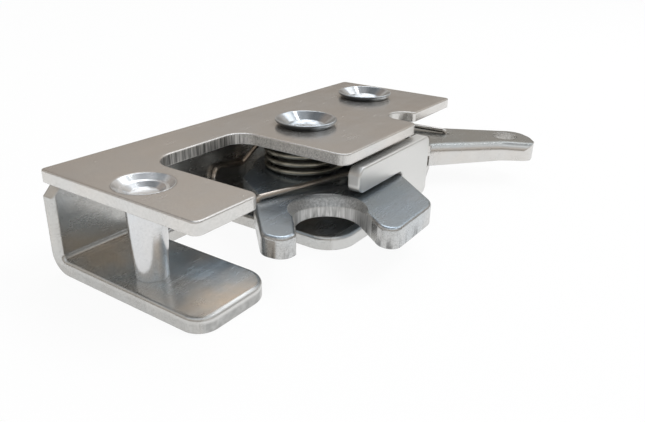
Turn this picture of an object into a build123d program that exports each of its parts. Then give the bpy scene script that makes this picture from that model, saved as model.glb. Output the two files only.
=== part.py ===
"""Rotary tray latch: a sprung fork and a release lever between two riveted steel plates.

Millimetres, +Z up. The origin is on the underside of the base plate, on the fork's pivot.
X runs along the latch towards the release lever, +Y towards the folded back wall.
The fork stands open and the release lever stands clear of it.
"""

from math import cos, pi, radians, sin
import os

from build123d import *

os.makedirs("parts", exist_ok=True)

# Sheets and the space between them
base_thickness = 3.0
plate_gap = 16.0
cover_thickness = 2.5

# Plan of the two plates, measured from the fork's pivot
left_reach = 57.4
right_reach = 48.8
back_reach = 20.4
lobe_front = 20.6
cover_lobe_width = 15.8
base_lobe_width = 19.8
mouth_depth_line = 8.3
base_mouth_line = 11.5
cover_wing_left = 14.7
cover_wing_right = 18.3
cover_wing_front = 20.8
cover_far_front = 15.6
cover_notch_radius = 4.2
cover_notch_inset = 0.5
cover_notch_corner = 1.2
cover_corner = 2.2
cover_lobe_corner = 1.5
cover_end_corner = 1.1
cover_mouth_left_corner = 5.8
cover_mouth_right_corner = 4.6
cover_edge_roll = 0.35
base_wing_left = 18.3
base_wing_front = 21.6
base_wing_corner = 7.0
base_lobe_corner = 4.0
base_lobe_mouth_corner = 6.0
base_mouth_corner = 2.5
base_edge_roll = 0.8
base_far_front = 19.2
base_far_slant = 7.6
base_lobe_setback = 0.4
base_far_corner = 1.0
base_slant_corner = 3.0
wall_bend_inside = 1.3
wall_chamfer = 3.0

# Front guide flange with its finger over the fork
flange_left = 8.6
flange_right = 22.3
flange_face = 22.6
flange_bend_inside = 1.5
flange_relief = 1.2
flange_relief_corner = 0.8
flange_relief_root = 0.5
flange_relief_end = 2.0
flange_notch_depth = 5.6
flange_fold_room = 10.0
flange_corner = 2.0
finger_root_corner = 1.5
flange_top_drop = 1.1
finger_reach = 20.1
finger_height = 5.85
finger_corner = 2.1
flange_edge_roll = 0.5

# Rivets
pivot_diameter = 12.0
pivot_foot_diameter = 16.0
pivot_foot_height = 1.6
cup_seat_diameter = 13.4
cup_rim_diameter = 15.46
cup_height = 1.5
cup_wall = 0.7
cup_floor_diameter = 9.2
cup_floor_depth = 0.25
cup_edge_round = 0.3
cup_floor_round = 0.4
spacer_x = -50.5
spacer_y = -0.8
spacer_top_diameter = 7.7
spacer_bottom_diameter = 6.5
spacer_tenon_diameter = 6.0
spacer_head_diameter = 11.6
spacer_head_height = 2.4
spacer_dish_diameter = 11.2
spacer_dish_depth = 0.95
spacer_ledge_diameter = 8.9
spacer_bowl_diameter = 7.7
spacer_bowl_floor_diameter = 5.2
spacer_bowl_depth = 1.75
spacer_foot_diameter = 9.6
spacer_foot_height = 1.5

# Lever pivot, from the fork's pivot
lever_pivot_x = 34.6
lever_pivot_y = 4.4

# Fits
hole_clearance = 0.05
running_clearance = 0.05
axial_clearance = 0.1

# Fork
fork_thickness = 4.5
fork_lift = 3.7
fork_hub_radius = 12.8
fork_swing = 42.0
fork_mouth_radius = 7.1
fork_mouth_x = -20.5
fork_mouth_y = -20.8
fork_mouth_heading = 226.0
fork_mouth_flare = 7.0
fork_bevel_radius = 8.4
fork_bevel_height = 2.2
fork_bevel_shift = 0.8
fork_edge_roll = 0.8
fork_rolled_front = -7.0
fork_rolled_room = 12.0
fork_mouth_reach = 24.0
fork_lip_corner = 1.2
fork_beak_corner = 3.0
fork_hook_x = -25.7
fork_hook_y = -5.9
tooth_radius = 17.0
tooth_face = 7.0
tooth_top = 3.0
tooth_ramp = 13.0

# Release lever
lever_thickness = 3.0
lever_hub_radius = 8.6
lever_home = 12.0
lever_bend_radius = 2.3
lever_eye_diameter = 7.0
lip_drop_root = 3.0
lip_drop_tip = 1.8
lip_tip_corner = 1.6
arm_front_bend = 8.0
trim_room = 12.0
nose_depth_clearance = 0.4

# Torsion springs and the rings that carry the moving pieces
wire_diameter = 1.3
coil_radius = 9.5
coil_pitch = 1.95
fork_coil_start = 208.0
fork_coil_turns = 2.547
fork_first_turn = 232.7
fork_leg_reach = 13.5
fork_leg_bend = 4.0
fork_rest_reach = 8.0
lever_coil_start = 240.6
lever_coil_turns = 2.791
lever_first_turn = 230.0
lever_leg_length = 22.4
lever_leg_reach = 2.0
hook_drop = 5.0
hook_room = 0.2
hook_bend = 1.1
fork_rest_points = [(-4.7, 9.4), (-14.4, 10.9), (-15.3, 7.4)]
fork_rest_bends = [3.0, 1.4, 1.8]
lever_stop_drop = 1.8
lever_stop_end = 6.0
straightening_bend = 25.0
bush_diameter = 15.0
fork_ring_diameter = 20.0
lever_ring_diameter = 17.0

base_top = base_thickness
cover_under = base_top + plate_gap
cover_top = cover_under + cover_thickness
left_edge = -left_reach
body_length = left_reach + right_reach
wall_inner = back_reach - base_thickness

fork_bottom = base_top + fork_lift
fork_top = fork_bottom + fork_thickness
lever_top = fork_top
lever_bottom = lever_top - lever_thickness
lever_pivot = (lever_pivot_x, lever_pivot_y)
spacer_spot = (spacer_x, spacer_y)

pivot_radius = pivot_diameter / 2
pivot_hole = pivot_radius + hole_clearance
pivot_bore = pivot_radius + running_clearance
wire_radius = wire_diameter / 2
leg_height = fork_top + axial_clearance + wire_radius
coil_low = leg_height + coil_pitch / (2 * pi)
fork_hook_spot = (fork_hook_x, fork_hook_y)


def polar(radius, angle):
    """Point at a radius and an angle about the fork's pivot."""
    return (radius * cos(radians(angle)), radius * sin(radians(angle)))


def turned(point, angle):
    """Point turned about the lever's pivot, in degrees."""
    dx = point[0] - lever_pivot_x
    dy = point[1] - lever_pivot_y
    c = cos(radians(angle))
    s = sin(radians(angle))
    return (lever_pivot_x + dx * c - dy * s, lever_pivot_y + dx * s + dy * c)


def from_lever(dx, dy):
    """Point given from the lever's pivot."""
    return (lever_pivot_x + dx, lever_pivot_y + dy)


def leg_tip(spot, start_angle, length):
    """Far end of a spring leg that leaves the coil at start_angle, running clockwise."""
    a = radians(start_angle)
    return (
        spot[0] + coil_radius * cos(a) + length * sin(a),
        spot[1] + coil_radius * sin(a) - length * cos(a),
    )


lever_leg_angle = lever_coil_start - lever_first_turn
lever_hook_spot = leg_tip(lever_pivot, lever_leg_angle, lever_leg_length)

# Front flange: a strip folded up from the base, cut to a post with a finger
flange_top = cover_under - flange_top_drop
finger_bottom = flange_top - finger_height
finger_end = flange_left - finger_reach
flange_notch_end = cover_wing_right + 2 * cover_notch_radius
base_lobe_front = lobe_front - base_lobe_setback

with BuildPart() as front_flange:
    with BuildSketch(Plane.YZ.offset(finger_end)) as flange_section:
        with BuildLine():
            Polyline(
                (-flange_face + flange_fold_room, 0),
                (-flange_face, 0),
                (-flange_face, flange_top),
                (-flange_face + base_thickness, flange_top),
                (-flange_face + base_thickness, base_thickness),
                (-flange_face + flange_fold_room, base_thickness),
                close=True,
            )
        make_face()
        outer_fold = flange_section.vertices().sort_by_distance((-flange_face, 0, 0))[0]
        fillet(outer_fold, flange_bend_inside + base_thickness)
        inner_fold = flange_section.vertices().sort_by_distance(
            (-flange_face + base_thickness, base_thickness, 0)
        )[0]
        fillet(inner_fold, flange_bend_inside)
    extrude(amount=flange_right - finger_end)
    with BuildSketch(Plane.XZ.offset(flange_face)) as flange_front:
        with BuildLine():
            FilletPolyline(
                (flange_left, 0),
                (flange_right, 0),
                (flange_right, flange_top),
                (finger_end, flange_top),
                (finger_end, finger_bottom),
                (flange_left, finger_bottom),
                radius=[0, 0, flange_corner, finger_corner, finger_corner, finger_root_corner],
                close=True,
            )
        make_face()
    extrude(amount=-flange_fold_room, mode=Mode.INTERSECT)
    punched = front_flange.faces().sort_by(Axis.Y)[0].edges()
    roll_from = finger_bottom - flange_edge_roll
    fillet(punched.filter_by(lambda edge: edge.center().Z > roll_from), flange_edge_roll)

# Base plate: floor and back wall folded from one sheet, with the front flange
with BuildPart() as base_plate:
    with BuildSketch(Plane.YZ.offset(left_edge)) as channel_section:
        with BuildLine():
            Polyline(
                (-flange_face, 0),
                (back_reach, 0),
                (back_reach, cover_under),
                (wall_inner, cover_under),
                (wall_inner, base_thickness),
                (-flange_face, base_thickness),
                close=True,
            )
        make_face()
        heel = channel_section.vertices().sort_by_distance((back_reach, 0, 0))[0]
        fillet(heel, wall_bend_inside + base_thickness)
        instep = channel_section.vertices().sort_by_distance((wall_inner, base_thickness, 0))[0]
        fillet(instep, wall_bend_inside)
    extrude(amount=body_length)
    with BuildSketch(Plane.XY) as floor_outline:
        with BuildLine():
            FilletPolyline(
                (left_edge, back_reach),
                (left_edge, -base_lobe_front),
                (left_edge + base_lobe_width, -base_lobe_front),
                (left_edge + base_lobe_width, base_mouth_line),
                (-base_wing_left, base_mouth_line),
                (-base_wing_left, -base_wing_front),
                (flange_left - flange_relief, -base_wing_front),
                (flange_left - flange_relief, -flange_face + flange_notch_depth),
                (flange_notch_end, -flange_face + flange_notch_depth),
                (flange_notch_end, -base_far_front),
                (right_reach, -base_far_front + base_far_slant),
                (right_reach, back_reach),
                radius=[
                    0,
                    base_lobe_corner,
                    base_lobe_mouth_corner,
                    base_mouth_corner,
                    base_mouth_corner,
                    base_wing_corner,
                    flange_relief_corner,
                    flange_relief_root,
                    flange_relief_end,
                    base_far_corner,
                    base_slant_corner,
                    0,
                ],
                close=True,
            )
        make_face()
    extrude(amount=cover_under, mode=Mode.INTERSECT)
    floor_rim = base_plate.edges().filter_by(
        lambda edge: abs(edge.center().Z - base_thickness) < 0.01
        and edge.center().Y <= base_mouth_line
        and left_edge + base_lobe_corner / 2 < edge.center().X < 0
    )
    fillet(floor_rim, base_edge_roll)
    add(front_flange.part)
    # The back wall's free upper corner over the left lobe is cut off at 45 degrees
    with BuildSketch(Plane.XZ.offset(-back_reach)) as wall_corner:
        with BuildLine():
            Polyline(
                (left_edge, cover_under),
                (left_edge + wall_chamfer, cover_under),
                (left_edge, cover_under - wall_chamfer),
                close=True,
            )
        make_face()
    extrude(amount=base_thickness, mode=Mode.SUBTRACT)
    with BuildSketch(Plane.XY) as pivot_seats:
        with Locations((0, 0), lever_pivot):
            Circle(pivot_hole)
        with Locations(spacer_spot):
            Circle(spacer_tenon_diameter / 2 + hole_clearance)
    extrude(amount=base_thickness, mode=Mode.SUBTRACT)
    with BuildSketch(Plane.XZ) as foot_seat:
        with BuildLine():
            Polyline(
                (0, 0),
                (pivot_foot_diameter / 2 + hole_clearance, 0),
                (pivot_hole, pivot_foot_height),
                (0, pivot_foot_height),
                close=True,
            )
        make_face()
    revolve(axis=Axis.Z, mode=Mode.SUBTRACT)
    with BuildSketch(Plane.XZ.offset(-lever_pivot_y)) as lever_foot_seat:
        with BuildLine():
            Polyline(
                (lever_pivot_x, 0),
                (lever_pivot_x + pivot_foot_diameter / 2 + hole_clearance, 0),
                (lever_pivot_x + pivot_hole, pivot_foot_height),
                (lever_pivot_x, pivot_foot_height),
                close=True,
            )
        make_face()
    revolve(axis=Axis((lever_pivot_x, lever_pivot_y, 0), (0, 0, 1)), mode=Mode.SUBTRACT)
    with BuildSketch(Plane.XZ.offset(-spacer_y)) as spacer_foot_seat:
        with BuildLine():
            Polyline(
                (spacer_x, 0),
                (spacer_x + spacer_foot_diameter / 2 + hole_clearance, 0),
                (spacer_x + spacer_tenon_diameter / 2 + hole_clearance, spacer_foot_height),
                (spacer_x, spacer_foot_height),
                close=True,
            )
        make_face()
    revolve(axis=Axis((spacer_x, spacer_y, 0), (0, 0, 1)), mode=Mode.SUBTRACT)

# Cover plate: flat blank with the striker mouth, the wing over the fork and a half-round notch
notch_spot = (cover_wing_right + cover_notch_radius, -cover_far_front + cover_notch_inset)

with BuildPart() as cover_plate:
    with BuildSketch(Plane.XY.offset(cover_under)) as cover_outline:
        with BuildLine():
            FilletPolyline(
                (left_edge, back_reach),
                (left_edge, -lobe_front),
                (left_edge + cover_lobe_width, -lobe_front),
                (left_edge + cover_lobe_width, mouth_depth_line),
                (-cover_wing_left, mouth_depth_line),
                (-cover_wing_left, -cover_wing_front),
                (cover_wing_right, -cover_wing_front),
                (cover_wing_right, -cover_far_front),
                (right_reach, -cover_far_front),
                (right_reach, back_reach),
                radius=[
                    cover_end_corner,
                    cover_lobe_corner,
                    cover_corner,
                    cover_mouth_left_corner,
                    cover_mouth_right_corner,
                    cover_corner,
                    cover_corner,
                    0,
                    cover_end_corner,
                    cover_end_corner,
                ],
                close=True,
            )
        make_face()
        with Locations(notch_spot):
            Circle(cover_notch_radius, mode=Mode.SUBTRACT)
        notch_end = cover_outline.vertices().sort_by_distance(
            (notch_spot[0] + cover_notch_radius, -cover_far_front, 0)
        )[0]
        fillet(notch_end, cover_notch_corner)
        with Locations((0, 0), lever_pivot):
            Circle(pivot_hole, mode=Mode.SUBTRACT)
        with Locations(spacer_spot):
            Circle(spacer_tenon_diameter / 2 + hole_clearance, mode=Mode.SUBTRACT)
    extrude(amount=cover_thickness)
    rim = cover_plate.faces().sort_by(Axis.Z)[-1].outer_wire().edges()
    fillet(rim, cover_edge_roll)
    with BuildSketch(Plane.XZ.offset(-spacer_y)) as head_seat:
        with BuildLine():
            Polyline(
                (spacer_x, cover_top),
                (spacer_x + spacer_head_diameter / 2 + hole_clearance, cover_top),
                (
                    spacer_x + spacer_tenon_diameter / 2 + hole_clearance,
                    cover_top - spacer_head_height,
                ),
                (spacer_x, cover_top - spacer_head_height),
                close=True,
            )
        make_face()
    revolve(axis=Axis((spacer_x, spacer_y, 0), (0, 0, 1)), mode=Mode.SUBTRACT)

# Rivets that the fork and the lever turn on: shank, flush foot and a flared cup on the cover
with BuildPart() as fork_rivet:
    with BuildSketch(Plane.XZ) as cup_section:
        with BuildLine():
            FilletPolyline(
                (0, 0),
                (pivot_foot_diameter / 2, 0),
                (pivot_radius, pivot_foot_height),
                (pivot_radius, cover_top),
                (cup_seat_diameter / 2, cover_top),
                (cup_rim_diameter / 2, cover_top + cup_height),
                (cup_rim_diameter / 2 - cup_wall, cover_top + cup_height),
                (cup_floor_diameter / 2, cover_top - cup_floor_depth),
                (0, cover_top - cup_floor_depth),
                radius=[0, 0, 0, 0, cup_edge_round, cup_edge_round, cup_edge_round]
                + [cup_floor_round, 0],
                close=True,
            )
        make_face()
    revolve(axis=Axis.Z)

with BuildPart() as lever_rivet:
    with BuildSketch(Plane.XZ.offset(-lever_pivot_y)) as lever_cup_section:
        with Locations((lever_pivot_x, 0)):
            add(cup_section.sketch_local)
    revolve(axis=Axis((lever_pivot_x, lever_pivot_y, 0), (0, 0, 1)))

# Spacer rivet of the left lobe, with a dished head sunk in the cover
with BuildPart() as spacer_rivet:
    with BuildSketch(Plane.XZ.offset(-spacer_y)) as spacer_section:
        with BuildLine():
            Polyline(
                (spacer_x, 0),
                (spacer_x + spacer_foot_diameter / 2, 0),
                (spacer_x + spacer_tenon_diameter / 2, spacer_foot_height),
                (spacer_x + spacer_tenon_diameter / 2, base_top),
                (spacer_x + spacer_bottom_diameter / 2, base_top),
                (spacer_x + spacer_top_diameter / 2, cover_under),
                (spacer_x + spacer_tenon_diameter / 2, cover_under),
                (spacer_x + spacer_tenon_diameter / 2, cover_top - spacer_head_height),
                (spacer_x + spacer_head_diameter / 2, cover_top),
                (spacer_x + spacer_dish_diameter / 2, cover_top),
                (spacer_x + spacer_ledge_diameter / 2, cover_top - spacer_dish_depth),
                (spacer_x + spacer_bowl_diameter / 2, cover_top - spacer_dish_depth),
                (spacer_x + spacer_bowl_floor_diameter / 2, cover_top - spacer_bowl_depth),
                (spacer_x, cover_top - spacer_bowl_depth),
                close=True,
            )
        make_face()
    revolve(axis=Axis((spacer_x, spacer_y, 0), (0, 0, 1)))

# Fork: hub, tooth for the lever's nose, long guiding prong and blunt catching prong
mouth_spot = (fork_mouth_x, fork_mouth_y)
bevel_spot = (fork_mouth_x + fork_bevel_shift, fork_mouth_y + fork_bevel_shift, fork_top)


def mouth_wall(side):
    """Foot and far end of one of the mouth's straight walls, which flare outwards."""
    way = fork_mouth_heading + side * fork_mouth_flare
    foot = Vector(*mouth_spot) + Vector(*polar(fork_mouth_radius, way + side * 90))
    return [foot, foot + Vector(*polar(fork_mouth_reach, way))]


with BuildPart() as fork:
    with BuildSketch(Plane.XY.offset(fork_bottom)) as fork_outline:
        with BuildLine():
            FilletPolyline(
                (4.2, -10.8),
                (-6.0, 10.2),
                (-16.4, 6.1),
                (-23.5, -5.2),
                (-27.0, -6.2),
                (-37.7, -16.9),
                (-37.0, -22.0),
                (-32.0, -22.3),
                (-20.4, -30.0),
                (-21.0, -36.7),
                (-3.2, -36.3),
                (8.4, -22.6),
                radius=[0, 0, 1.5, 1.0, 1.4, 3.2, 3.0, 0.5, 0.5, 2.4, 6.0, 1.2],
                close=True,
            )
        make_face()
        Circle(fork_hub_radius)
        with BuildLine():
            Polyline(
                polar(fork_hub_radius - 1.0, tooth_face - tooth_top - tooth_ramp),
                polar(fork_hub_radius, tooth_face - tooth_top - tooth_ramp),
                polar(tooth_radius, tooth_face - tooth_top),
                polar(tooth_radius, tooth_face),
                polar(fork_hub_radius - 1.0, tooth_face),
                close=True,
            )
        make_face()
        with Locations(mouth_spot):
            Circle(fork_mouth_radius, mode=Mode.SUBTRACT)
        with BuildLine():
            Polyline(*mouth_wall(1), *reversed(mouth_wall(-1)), close=True)
        make_face(mode=Mode.SUBTRACT)
        Circle(pivot_bore, mode=Mode.SUBTRACT)
        with Locations(fork_hook_spot):
            Circle(wire_radius + hook_room, mode=Mode.SUBTRACT)
        lips = fork_outline.vertices().sort_by_distance((-33.3, -22.2, 0))[0:1]
        fillet(lips, fork_lip_corner)
        beak = fork_outline.vertices().sort_by_distance((-20.5, -32.2, 0))[0:1]
        fillet(beak, fork_beak_corner)
    extrude(amount=fork_thickness)
    # Conical upper half of the mouth's wall, deepest towards the pivot
    with Locations(bevel_spot):
        Cone(
            fork_mouth_radius - fork_bevel_shift * 2**0.5,
            fork_bevel_radius,
            fork_bevel_height,
            align=(Align.CENTER, Align.CENTER, Align.MAX),
            mode=Mode.SUBTRACT,
        )
    prong_rim = fork.faces().filter_by(Axis.Z).sort_by(Axis.Z)[-1].outer_wire().edges()
    fillet(
        prong_rim.filter_by(
            lambda edge: edge.center().Y < fork_rolled_front
            and (edge.center() - Vector(*mouth_spot, fork_top)).length > fork_rolled_room
        ),
        fork_edge_roll,
    )

# Release lever: nose, hub and bent arm, with a lip folded down along the arm's front
home_face = tooth_face - fork_swing
nose_inner = fork_hub_radius + nose_depth_clearance
nose_outer = tooth_radius + 1.5
nose_tip = turned(polar(nose_inner, home_face + 1.6), lever_home)
nose_heel = turned(polar(nose_outer, home_face + 1.0), lever_home)
nose_back = turned(polar(nose_inner + 0.5, home_face + 16.3), lever_home)
nose_shoulder = turned(polar(nose_inner + 3.3, home_face + 31.5), lever_home)
arm_front = [from_lever(-0.2, -21.8), from_lever(15.0, -37.2), from_lever(19.0, -45.5)]
eye_spot = from_lever(22.0, -35.1)
lip_way = Vector(*arm_front[2]) - Vector(*arm_front[0])
lip_length = lip_way.length
lip_side = Plane(
    origin=(*arm_front[0], lever_bottom), x_dir=lip_way, z_dir=lip_way.cross(Vector(0, 0, 1))
)

with BuildPart() as release_lever:
    with BuildSketch(Plane.XY.offset(lever_bottom)) as lever_outline:
        with BuildLine():
            FilletPolyline(
                nose_tip,
                nose_heel,
                from_lever(-7.0, -20.6),
                arm_front[0],
                arm_front[1],
                arm_front[2],
                from_lever(25.2, -41.2),
                from_lever(28.9, -36.2),
                from_lever(14.5, -10.8),
                from_lever(8.0, 0.0),
                from_lever(-6.1, 5.1),
                nose_shoulder,
                nose_back,
                radius=[0.5, 2.0, 5.0, 6.0, arm_front_bend, 3.0, 5.0, 5.0, 30.0, 0, 0, 2.5, 0.8],
                close=True,
            )
        make_face()
        with Locations(lever_pivot):
            Circle(lever_hub_radius)
            Circle(pivot_bore, mode=Mode.SUBTRACT)
        with Locations(eye_spot):
            Circle(lever_eye_diameter / 2, mode=Mode.SUBTRACT)
        with Locations(lever_hook_spot):
            Circle(wire_radius + 2 * hook_room, mode=Mode.SUBTRACT)
    extrude(amount=lever_thickness)
    with BuildSketch(Plane.XY.offset(lever_bottom)) as lip_outline:
        with BuildLine():
            FilletPolyline(*arm_front, radius=arm_front_bend)
            offset(amount=lever_thickness, side=Side.LEFT)
        make_face()
        add(lever_outline.sketch_local, mode=Mode.INTERSECT)
    extrude(amount=-lip_drop_root)
    # The lip tapers towards its tip, which is rounded below
    with BuildSketch(lip_side) as lip_trim:
        with BuildLine():
            FilletPolyline(
                (-lip_length, -lip_drop_root - lever_thickness),
                (-lip_length, -lip_drop_root),
                (0, -lip_drop_root),
                (lip_length + 0.3, -lip_drop_tip),
                (lip_length + 0.3, 0),
                (lip_length * 1.5, 0),
                (lip_length * 1.5, -lip_drop_root - lever_thickness),
                radius=[0, 0, 0, lip_tip_corner, 0, 0, 0],
                close=True,
            )
        make_face()
    extrude(amount=trim_room, both=True, mode=Mode.SUBTRACT)
    # Outside of the fold along the arm's front
    with BuildLine() as fold_line:
        FilletPolyline(*[(x, y, lever_top) for x, y in arm_front], radius=arm_front_bend)
    fold_way = fold_line.line % 0
    with BuildSketch(
        Plane(
            origin=fold_line.line @ 0,
            x_dir=Vector(0, 0, 1).cross(fold_way),
            z_dir=fold_way,
        )
    ) as fold_corner:
        with BuildLine():
            Polyline((lever_bend_radius, 0.2), (-0.2, 0.2), (-0.2, -lever_bend_radius))
            Line((-0.2, -lever_bend_radius), (0, -lever_bend_radius))
            RadiusArc((0, -lever_bend_radius), (lever_bend_radius, 0), lever_bend_radius)
            Line((lever_bend_radius, 0), (lever_bend_radius, 0.2))
        make_face()
    sweep(path=fold_line.line, mode=Mode.SUBTRACT)

# Rings that carry the fork and the lever on the base, and bushes inside the coils
def ring(spot, outer, bottom, top):
    """Plain ring round one of the pivots."""
    with BuildPart() as plain_ring:
        with BuildSketch(Plane.XY.offset(bottom)):
            with Locations(spot):
                Circle(outer / 2)
                Circle(pivot_bore, mode=Mode.SUBTRACT)
        extrude(amount=top - bottom)
    return plain_ring


fork_spacer = ring((0, 0), fork_ring_diameter, base_top, fork_bottom - axial_clearance)
lever_spacer = ring(lever_pivot, lever_ring_diameter, base_top, lever_bottom - axial_clearance)
fork_bush = ring((0, 0), bush_diameter, fork_top + axial_clearance, cover_under)
lever_bush = ring(lever_pivot, bush_diameter, lever_top + axial_clearance, cover_under)

# Torsion springs: a flat first turn, a rising coil round the bush, and a leg at each end
def torsion_spring(spot, start, turns, first_turn, low_leg, high_leg):
    """Spring of round wire. Each leg is its reach along the coil's tangent, the corners that
    follow and the bend at each corner."""
    coil_line = (
        Pos(spot[0], spot[1], coil_low)
        * Rot(0, 0, start)
        * Helix(coil_pitch, coil_pitch * turns, coil_radius)
    )
    outward = Vector(*polar(1.0, start))
    rise = coil_line % 0
    flat_plane = Plane(
        origin=(spot[0], spot[1], coil_low), x_dir=outward, z_dir=outward.cross(rise)
    )
    flat_line = flat_plane * CenterArc((0, 0), coil_radius, 0, -first_turn)
    low_end = flat_line @ 1
    low_run = flat_line % 1
    high_end = coil_line @ 1
    high_run = coil_line % 1
    low_reach, low_points, low_bends = low_leg
    high_reach, high_points, high_bends = high_leg
    with BuildPart() as spring:
        with BuildSketch(Plane(origin=coil_line @ 0, z_dir=rise)):
            Circle(wire_radius)
        sweep(path=coil_line, is_frenet=True)
        with BuildSketch(Plane(origin=coil_line @ 0, z_dir=-rise)):
            Circle(wire_radius)
        sweep(path=flat_line)
        with BuildLine() as low_path:
            FilletPolyline(low_end, low_end + low_run * low_reach, *low_points, radius=low_bends)
        with BuildSketch(Plane(origin=low_end, z_dir=low_run)):
            Circle(wire_radius)
        sweep(path=low_path.line)
        with BuildLine() as high_path:
            FilletPolyline(
                high_end, high_end + high_run * high_reach, *high_points, radius=high_bends
            )
        with BuildSketch(Plane(origin=high_end, z_dir=high_run)):
            Circle(wire_radius)
        sweep(path=high_path.line)
    return spring


def hooked(spot):
    """Corner over a hole and the end of the wire hooked down through it."""
    return [(*spot, leg_height), (*spot, leg_height - hook_drop)]


wall_line = wall_inner - wire_radius - axial_clearance
flange_line = -flange_face + base_thickness + wire_radius + axial_clearance
fork_spring = torsion_spring(
    (0, 0),
    fork_coil_start,
    fork_coil_turns,
    fork_first_turn,
    (fork_leg_reach, hooked(fork_hook_spot), [fork_leg_bend, hook_bend]),
    (fork_rest_reach, [(x, wall_line, z) for x, z in fork_rest_points], fork_rest_bends),
)
lever_high_angle = lever_coil_start + 360 * lever_coil_turns
lever_high_x = lever_pivot_x + coil_radius * cos(radians(lever_high_angle))
lever_high_y = lever_pivot_y + coil_radius * sin(radians(lever_high_angle))
lever_high_reach = (flange_line - lever_high_y) / cos(radians(lever_high_angle))
lever_stop_x = lever_high_x - lever_high_reach * sin(radians(lever_high_angle))
lever_spring = torsion_spring(
    lever_pivot,
    lever_coil_start,
    lever_coil_turns,
    lever_first_turn,
    (lever_leg_reach, hooked(lever_hook_spot), [straightening_bend, hook_bend]),
    (
        lever_leg_reach,
        [
            (lever_stop_x, flange_line, cover_under - lever_stop_drop),
            (lever_stop_x, flange_line, cover_under - lever_stop_end),
        ],
        [straightening_bend, hook_bend],
    ),
)

export_names = {
    "base_plate": base_plate,
    "cover_plate": cover_plate,
    "fork_rivet": fork_rivet,
    "lever_rivet": lever_rivet,
    "spacer_rivet": spacer_rivet,
    "fork": fork,
    "release_lever": release_lever,
    "fork_spacer": fork_spacer,
    "lever_spacer": lever_spacer,
    "fork_bush": fork_bush,
    "lever_bush": lever_bush,
    "fork_spring": fork_spring,
    "lever_spring": lever_spring,
}
for label, builder in export_names.items():
    builder.part.label = label
    export_step(builder.part, f"parts/{label}.step")
    print(label, builder.part.volume, builder.part.is_valid, builder.part.bounding_box())
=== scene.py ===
import math

import bmesh
import bpy
from mathutils import Matrix, Vector


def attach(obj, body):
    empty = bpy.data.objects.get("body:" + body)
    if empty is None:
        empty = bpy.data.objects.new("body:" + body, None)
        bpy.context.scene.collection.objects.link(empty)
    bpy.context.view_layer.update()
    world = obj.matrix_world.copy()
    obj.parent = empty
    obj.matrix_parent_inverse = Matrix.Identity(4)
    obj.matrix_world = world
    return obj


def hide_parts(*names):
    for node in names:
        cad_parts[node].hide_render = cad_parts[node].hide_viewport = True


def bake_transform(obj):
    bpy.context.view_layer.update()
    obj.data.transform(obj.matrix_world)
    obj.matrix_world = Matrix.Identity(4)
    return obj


bl_info = {
    "name": "Tray latch",
    "version": (1, 0, 0),
    "blender": (4, 5, 0),
    "location": "3D View > Sidebar > Tray latch",
    "description": "Dresses a riveted rotary tray latch in zinc-plated steel and lights it",
    "category": "Object",
}

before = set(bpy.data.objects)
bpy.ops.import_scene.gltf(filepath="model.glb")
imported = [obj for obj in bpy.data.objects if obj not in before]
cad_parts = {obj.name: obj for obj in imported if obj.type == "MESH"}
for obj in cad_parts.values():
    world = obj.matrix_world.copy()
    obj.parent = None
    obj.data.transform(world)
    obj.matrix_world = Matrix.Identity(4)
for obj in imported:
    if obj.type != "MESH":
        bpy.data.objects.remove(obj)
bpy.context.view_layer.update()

# Places that the finishes refer to, in metres. FADE is the width over which a finish runs
# out, and EDGE is the pair of places where it is still full and where it has run out.
COVER_MOUTH_LOW = (-0.0421, -0.0190)
COVER_MOUTH_HIGH = (-0.0140, 0.0090)
COVER_MOUTH_FADE = (0.0004, 0.0020)
COVER_TOP = 0.0215
CUP_FADE = 0.0004
FLANGE_EDGE = (-0.0195, -0.0190)
LOBE_BAND_HEIGHTS = (0.0002, 0.0016)
LOBE_BAND_FADE = 0.0006
LOBE_BAND_EDGE = (-0.0420, -0.0400)
FORK_MOUTH = (-0.0205, -0.0208)
FORK_MOUTH_EDGE = (0.0087, 0.0093)
FORK_COIL_EDGE = (0.0104, 0.0110)
# Heights below which the fork's upright sides carry smudges and painted shade
LOW_SHADE_EDGE = (0.0065, 0.0100)

# Slopes of a face between which a finish comes or goes, from 0 upright to 1 level
LEVEL_FACES = (0.60, 0.90)
UPRIGHT_FACES = (0.30, 0.60)
MOUTH_FACES = (0.85, 0.93)
CUP_FLOOR_FACES = (0.90, 0.97)

# The same for the way a face looks: part of its normal along Z, X, X and Y, from -1 to 1
CUP_OUTSIDE_FACES = (0.25, 0.55)
CUP_LEFT_FACES = (-0.60, -0.40)
GRAINED_FACES = (-0.95, -0.75)
FRONT_FACES = (-0.90, -0.60)

# Edges: likeness of a face's normal and its rounded normal on and off them, and samples
EDGE_LIKENESS = (0.90, 0.995)
EDGE_SAMPLES = 6

# Noises: cells per metre, detail and roughness
CLOUDS = (55.0, 3.0, 0.55)
SWELL = (130.0, 2.0, 0.50)
PATCHES = (190.0, 5.0, 0.65)
# Noise of the darker band low on the base plate's lobe
LOBE_BAND_NOISE = (500.0, 3.0, 0.60)
# Blotches of painted reflection on the cups' floors
CUP_FLOOR_BLOTCHES = (520.0, 4.0, 0.65)
SPECKS = (2600.0, 2.0, 0.60)
SHEAR_GRAINS = (2600.0, 3.0, 0.70)

# Noises on stretched coordinates, which already hold the cells per metre
ROLLED = (1.0, 4.0, 0.65)
SHEAR = (1.0, 3.0, 0.75)
SMUDGES = (1.0, 3.0, 0.60)

# Cells per metre along X, Y and Z of the stretched coordinates
SHEET_GRAIN = (60.0, 900.0, 900.0)
COVER_GRAIN = (70.0, 1100.0, 1100.0)
TURNED_GRAIN = (300.0, 300.0, 900.0)
WIRE_GRAIN = (200.0, 200.0, 2500.0)
SHEAR_STREAKS = (1900.0, 1900.0, 90.0)
SMUDGE_STREAKS = (700.0, 700.0, 160.0)

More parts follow.
